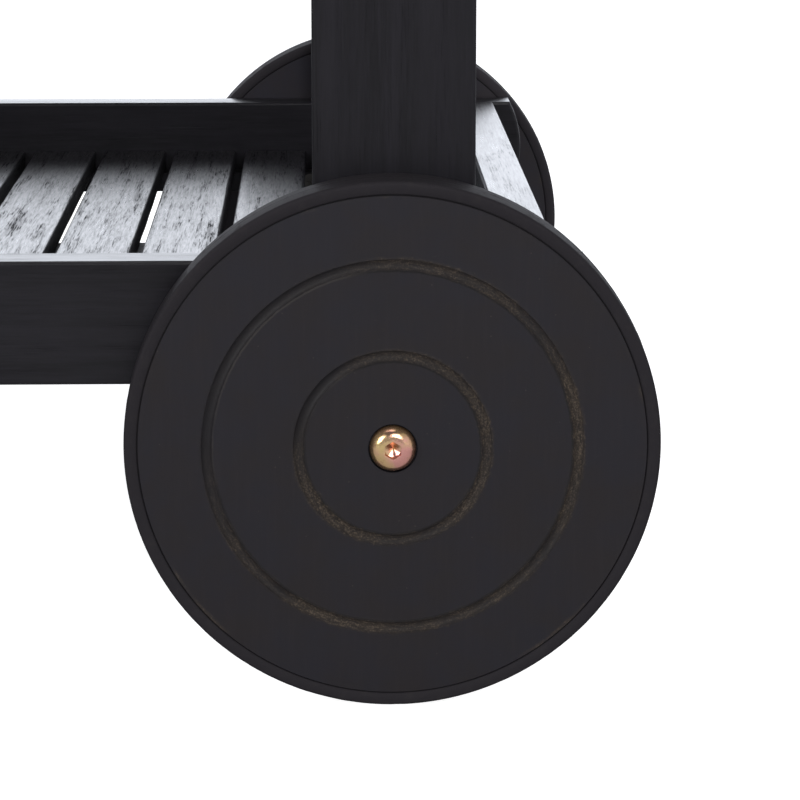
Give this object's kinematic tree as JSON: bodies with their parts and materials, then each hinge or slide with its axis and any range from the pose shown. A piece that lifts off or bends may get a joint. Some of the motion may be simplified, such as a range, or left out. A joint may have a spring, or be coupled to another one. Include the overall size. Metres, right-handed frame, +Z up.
{
  "type": "bar cart",
  "caption": "Two-shelf slatted wooden serving cart with a push bar, flat posts, legs at one end and large solid wooden wheels with rubber tyres at the other.",
  "frame": {"origin": "on the floor, under the middle of the whole cart's box", "axes": "+X along the cart towards the wheel end, +Y across it towards the left wheel as seen from the handle, +Z up"},
  "size_m": [0.7322, 0.5626, 0.82],
  "materials": {
    "stained_wood": "black stained hardwood, satin oil, open grain",
    "tyre_rubber": "matt black rubber band",
    "nylon": "black nylon",
    "yellow_zinc": "yellow passivated zinc plate with a rose tint",
    "dark_zinc": "black zinc plate"
  },
  "bodies": {
    "frame": {"axle_bolts": "yellow_zinc", "axle_nuts": "yellow_zinc", "axle_washers": "yellow_zinc", "barrel_nuts": "dark_zinc", "connector_bolts": "dark_zinc", "handle_bar": "stained_wood", "leg_glides": "nylon", "leg_post_left": "stained_wood", "leg_post_right": "stained_wood", "lower_batten": "stained_wood", "lower_end_rail_back": "stained_wood", "lower_end_rail_front": "stained_wood", "lower_ledgers": "stained_wood", "lower_rail_left": "stained_wood", "lower_rail_right": "stained_wood", "lower_slat_01": "stained_wood", "lower_slat_02": "stained_wood", "lower_slat_03": "stained_wood", "lower_slat_04": "stained_wood", "lower_slat_05": "stained_wood", "lower_slat_06": "stained_wood", "lower_slat_07": "stained_wood", "lower_slat_08": "stained_wood", "lower_slat_09": "stained_wood", "lower_slat_10": "stained_wood", "lower_slat_11": "stained_wood", "lower_slat_12": "stained_wood", "lower_slat_13": "stained_wood", "lower_slat_14": "stained_wood", "lower_slat_15": "stained_wood", "upper_batten": "stained_wood", "upper_end_rail_back": "stained_wood", "upper_end_rail_front": "stained_wood", "upper_ledgers": "stained_wood", "upper_rail_left": "stained_wood", "upper_rail_right": "stained_wood", "upper_slat_01": "stained_wood", "upper_slat_02": "stained_wood", "upper_slat_03": "stained_wood", "upper_slat_04": "stained_wood", "upper_slat_05": "stained_wood", "upper_slat_06": "stained_wood", "upper_slat_07": "stained_wood", "upper_slat_08": "stained_wood", "upper_slat_09": "stained_wood", "upper_slat_10": "stained_wood", "upper_slat_11": "stained_wood", "upper_slat_12": "stained_wood", "upper_slat_13": "stained_wood", "upper_slat_14": "stained_wood", "upper_slat_15": "stained_wood", "wheel_post_left": "stained_wood", "wheel_post_right": "stained_wood", "wood_screws": "dark_zinc"},
    "wheel_left": {"hub_bush_left": "nylon", "tyre_left": "tyre_rubber", "wheel_disc_left": "stained_wood"},
    "wheel_right": {"hub_bush_right": "nylon", "tyre_right": "tyre_rubber", "wheel_disc_right": "stained_wood"}
  },
  "joints": [
    {"name": "wheel_left_spin", "type": "hinge", "parent": "frame", "child": "wheel_left", "pos_m": [0.26613, 0.2658, 0.1], "axis": [0, 1, 0], "continuous": true},
    {"name": "wheel_right_spin", "type": "hinge", "parent": "frame", "child": "wheel_right", "pos_m": [0.26613, -0.2658, 0.1], "axis": [0, 1, 0], "continuous": true}
  ]
}
